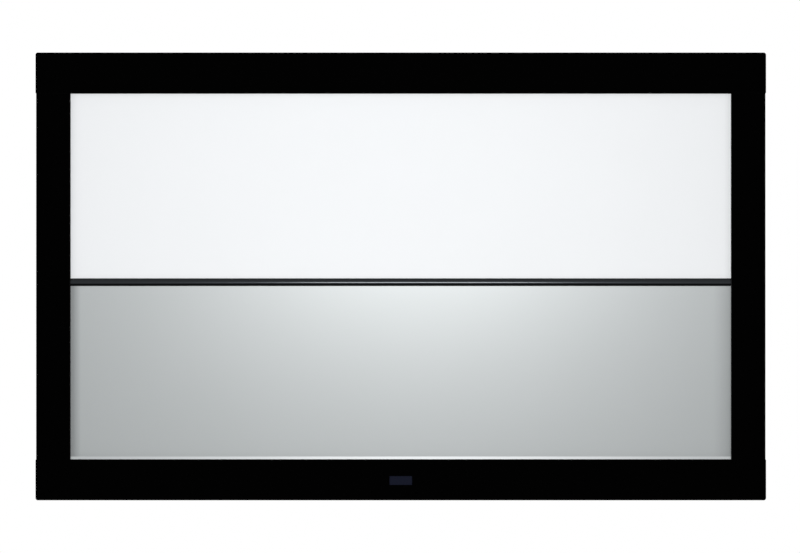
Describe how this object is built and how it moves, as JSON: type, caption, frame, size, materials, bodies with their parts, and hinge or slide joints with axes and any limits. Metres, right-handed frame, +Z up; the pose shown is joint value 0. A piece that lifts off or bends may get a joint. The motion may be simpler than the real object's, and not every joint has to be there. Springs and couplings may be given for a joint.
{
  "type": "fixed frame projector screen",
  "caption": "Wall-hung projector screen: a flat black frame around a stretched white sheet over a grey one, with a domed strip between them and springs, rods and hook brackets behind.",
  "frame": {"origin": "middle of the whole screen's box, from the badge's face to the wall", "axes": "+X to the viewer's right, +Y from the picture back to the wall, +Z up"},
  "size_m": [1.7664, 0.0434, 1.083],
  "materials": {
    "flocked_rail": "black flocked front on black anodised extrusion",
    "divider_metal": "satin black anodised extrusion",
    "white_sheet": "matt white vinyl",
    "grey_sheet": "pearly grey vinyl with a soft sheen",
    "fibreglass_rod": "drawn fibreglass",
    "spring_steel": "nickelled wire",
    "zinc_steel": "zinc-plated pressing",
    "black_plastic": "fine-grained moulding, flocked black in front",
    "rubber": "matt",
    "badge_metal": "dark blue anodised, bare of any mark"
  },
  "bodies": {
    "root": {"top_rail": "flocked_rail", "bottom_rail": "flocked_rail", "left_rail": "flocked_rail", "right_rail": "flocked_rail", "top_left_end_cap": "black_plastic", "top_right_end_cap": "black_plastic", "bottom_left_end_cap": "black_plastic", "bottom_right_end_cap": "black_plastic", "top_left_corner_plate": "zinc_steel", "top_right_corner_plate": "zinc_steel", "bottom_left_corner_plate": "zinc_steel", "bottom_right_corner_plate": "zinc_steel", "upper_screen_sheet": "white_sheet", "lower_screen_sheet": "grey_sheet", "top_hem_rod": "fibreglass_rod", "bottom_hem_rod": "fibreglass_rod", "upper_left_hem_rod": "fibreglass_rod", "lower_left_hem_rod": "fibreglass_rod", "upper_right_hem_rod": "fibreglass_rod", "lower_right_hem_rod": "fibreglass_rod", "top_spring_1": "spring_steel", "top_spring_2": "spring_steel", "top_spring_3": "spring_steel", "top_spring_4": "spring_steel", "top_spring_5": "spring_steel", "top_spring_6": "spring_steel", "top_spring_7": "spring_steel", "top_spring_8": "spring_steel", "top_spring_9": "spring_steel", "bottom_spring_1": "spring_steel", "bottom_spring_2": "spring_steel", "bottom_spring_3": "spring_steel", "bottom_spring_4": "spring_steel", "bottom_spring_5": "spring_steel", "bottom_spring_6": "spring_steel", "bottom_spring_7": "spring_steel", "bottom_spring_8": "spring_steel", "bottom_spring_9": "spring_steel", "left_spring_1": "spring_steel", "left_spring_2": "spring_steel", "left_spring_3": "spring_steel", "left_spring_4": "spring_steel", "left_spring_5": "spring_steel", "left_spring_6": "spring_steel", "right_spring_1": "spring_steel", "right_spring_2": "spring_steel", "right_spring_3": "spring_steel", "right_spring_4": "spring_steel", "right_spring_5": "spring_steel", "right_spring_6": "spring_steel", "divider_rail": "divider_metal", "divider_cover": "divider_metal", "left_divider_plate": "zinc_steel", "right_divider_plate": "zinc_steel", "left_wall_bracket": "zinc_steel", "right_wall_bracket": "zinc_steel", "left_wall_bumper": "rubber", "right_wall_bumper": "rubber", "badge_plate": "badge_metal"}
  },
  "joints": []
}
